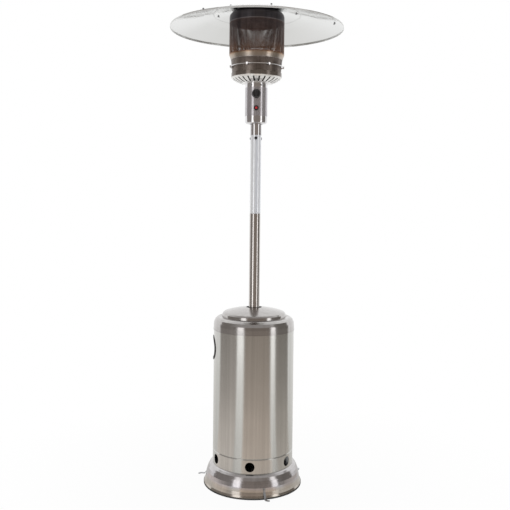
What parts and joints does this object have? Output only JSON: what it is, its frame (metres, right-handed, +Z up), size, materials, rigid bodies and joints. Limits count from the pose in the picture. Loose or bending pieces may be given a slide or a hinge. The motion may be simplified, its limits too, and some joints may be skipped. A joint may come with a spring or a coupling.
{
  "type": "gas patio heater",
  "caption": "Free-standing gas patio heater: flared base, lifting bottle housing, tall post, control housing, perforated emitter and wide shallow reflector.",
  "frame": {"origin": "on the floor, on the post's axis, at the centre of the base's underside", "axes": "+Z up along the post, -Y to the front, where the knob and igniter are, +X to the right as seen from the front"},
  "size_m": [0.7939, 0.794, 2.1885],
  "materials": {
    "brushed_steel": "brushed",
    "polished_steel": "polished",
    "frame_steel": "zinc plated",
    "reflector_aluminium": "bright rolled",
    "emitter_steel": "heat darkened",
    "tinted_steel": "heat tinted",
    "brass": "machined",
    "black_plastic": "moulded",
    "red_plastic": "gloss",
    "white_ceramic": "glazed",
    "trim_rubber": "satin",
    "panel_film": "satin film",
    "film_steel": "bright"
  },
  "bodies": {
    "stand": {"base_skirt": "brushed_steel", "base_edge_trim": "trim_rubber", "anchor_hooks": "frame_steel", "hook_rivets": "frame_steel", "support_leg_1": "frame_steel", "support_leg_2": "frame_steel", "support_leg_3": "frame_steel", "leg_foot_bolts": "frame_steel", "leg_head_bolts": "frame_steel", "post_bracket": "frame_steel", "lower_post": "brushed_steel", "post_flange_bolts": "frame_steel", "upper_post": "film_steel", "post_joint_screw": "frame_steel", "gas_supply_tube": "brass", "gas_inlet_fitting": "brass", "post_collar": "polished_steel", "head_screws": "black_plastic", "control_housing": "polished_steel", "control_housing_base": "polished_steel", "control_panel": "panel_film", "gas_valve": "brass", "valve_bracket": "frame_steel", "gas_jet": "brass", "mixing_tube": "frame_steel", "burner_head": "emitter_steel", "pilot_tube": "brass", "thermocouple": "brass", "spark_electrode": "white_ceramic", "piezo_igniter": "white_ceramic", "igniter_ring": "black_plastic", "tilt_switch": "black_plastic", "slotted_dish": "polished_steel", "dish_bolts": "frame_steel", "burner_pot": "polished_steel", "guard_ring": "polished_steel", "guard_ring_bolts": "polished_steel", "emitter_band": "tinted_steel", "emitter_screen": "emitter_steel", "emitter_shoulder": "emitter_steel", "reflector_studs": "frame_steel", "stud_spacers": "frame_steel", "reflector_centre": "reflector_aluminium", "reflector_panel_1": "reflector_aluminium", "reflector_panel_2": "reflector_aluminium", "reflector_panel_3": "reflector_aluminium", "reflector_screws": "frame_steel", "stud_nuts": "frame_steel"},
    "bottle_housing": {"housing_shell": "brushed_steel", "housing_cap": "polished_steel", "hand_hole_trim": "trim_rubber"},
    "valve_plug": {"valve_plug": "brass"},
    "gas_knob": {"knob_spindle": "frame_steel", "control_knob": "black_plastic"},
    "igniter_button": {"igniter_button": "red_plastic"}
  },
  "joints": [
    {"name": "housing_lift", "type": "slide", "parent": "stand", "child": "bottle_housing", "axis": [0, 0, 1], "range_m": [0, 0.62]},
    {"name": "knob_turn", "type": "hinge", "parent": "stand", "child": "valve_plug", "pos_m": [0, -0.02, 1.791], "axis": [0, -1, 0], "range_deg": [0, 180]},
    {"name": "knob_push", "type": "slide", "parent": "valve_plug", "child": "gas_knob", "axis": [0, 1, 0], "range_m": [0, 0.004], "stiffness_N_per_m": 800},
    {"name": "igniter_push", "type": "slide", "parent": "stand", "child": "igniter_button", "axis": [0, 1, 0], "range_m": [0, 0.004], "stiffness_N_per_m": 1200}
  ]
}
